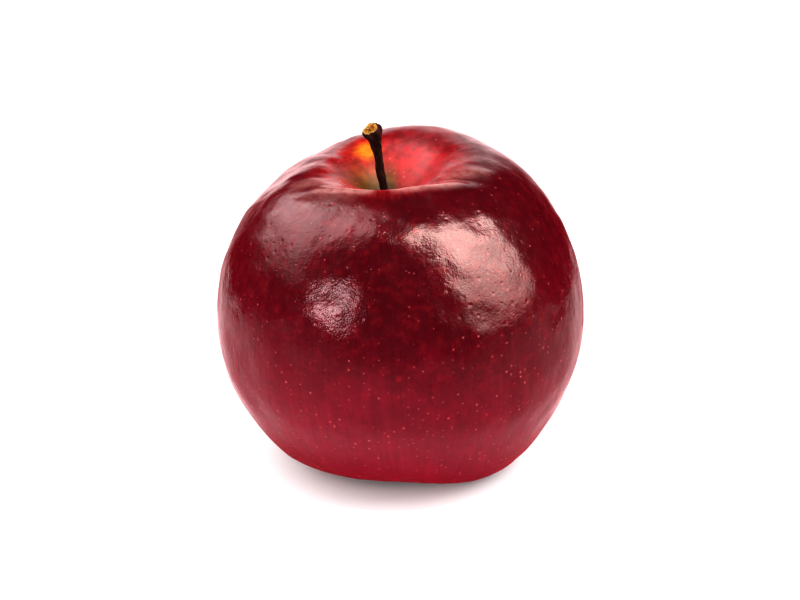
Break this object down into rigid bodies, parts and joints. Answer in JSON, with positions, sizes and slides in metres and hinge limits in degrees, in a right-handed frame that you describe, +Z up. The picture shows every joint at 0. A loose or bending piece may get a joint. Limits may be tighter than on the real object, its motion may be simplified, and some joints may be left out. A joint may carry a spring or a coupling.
{
  "type": "red apple",
  "caption": "Whole glossy dark red apple with its woody stem in the cavity on top and its dried calyx underneath, standing upright on the knobs of its base.",
  "frame": {"origin": "on the ground, under the middle of the object's box", "axes": "+Z up through the stem end, -Y towards the viewer of the usual front view, +X to that viewer's right; the fruit leans 3 degrees to -X"},
  "size_m": [0.0796, 0.0796, 0.077],
  "materials": {
    "skin": "waxy gloss over dark red skin with pale dots, lighter red in the stem cavity with a yellow and olive patch",
    "bark": "dull furrowed bark, nearly black, with a tan broken end",
    "dried_leaf": "dull, dry and brown"
  },
  "bodies": {
    "root": {"fruit": "skin", "stem": "bark", "calyx": "dried_leaf"}
  },
  "joints": []
}
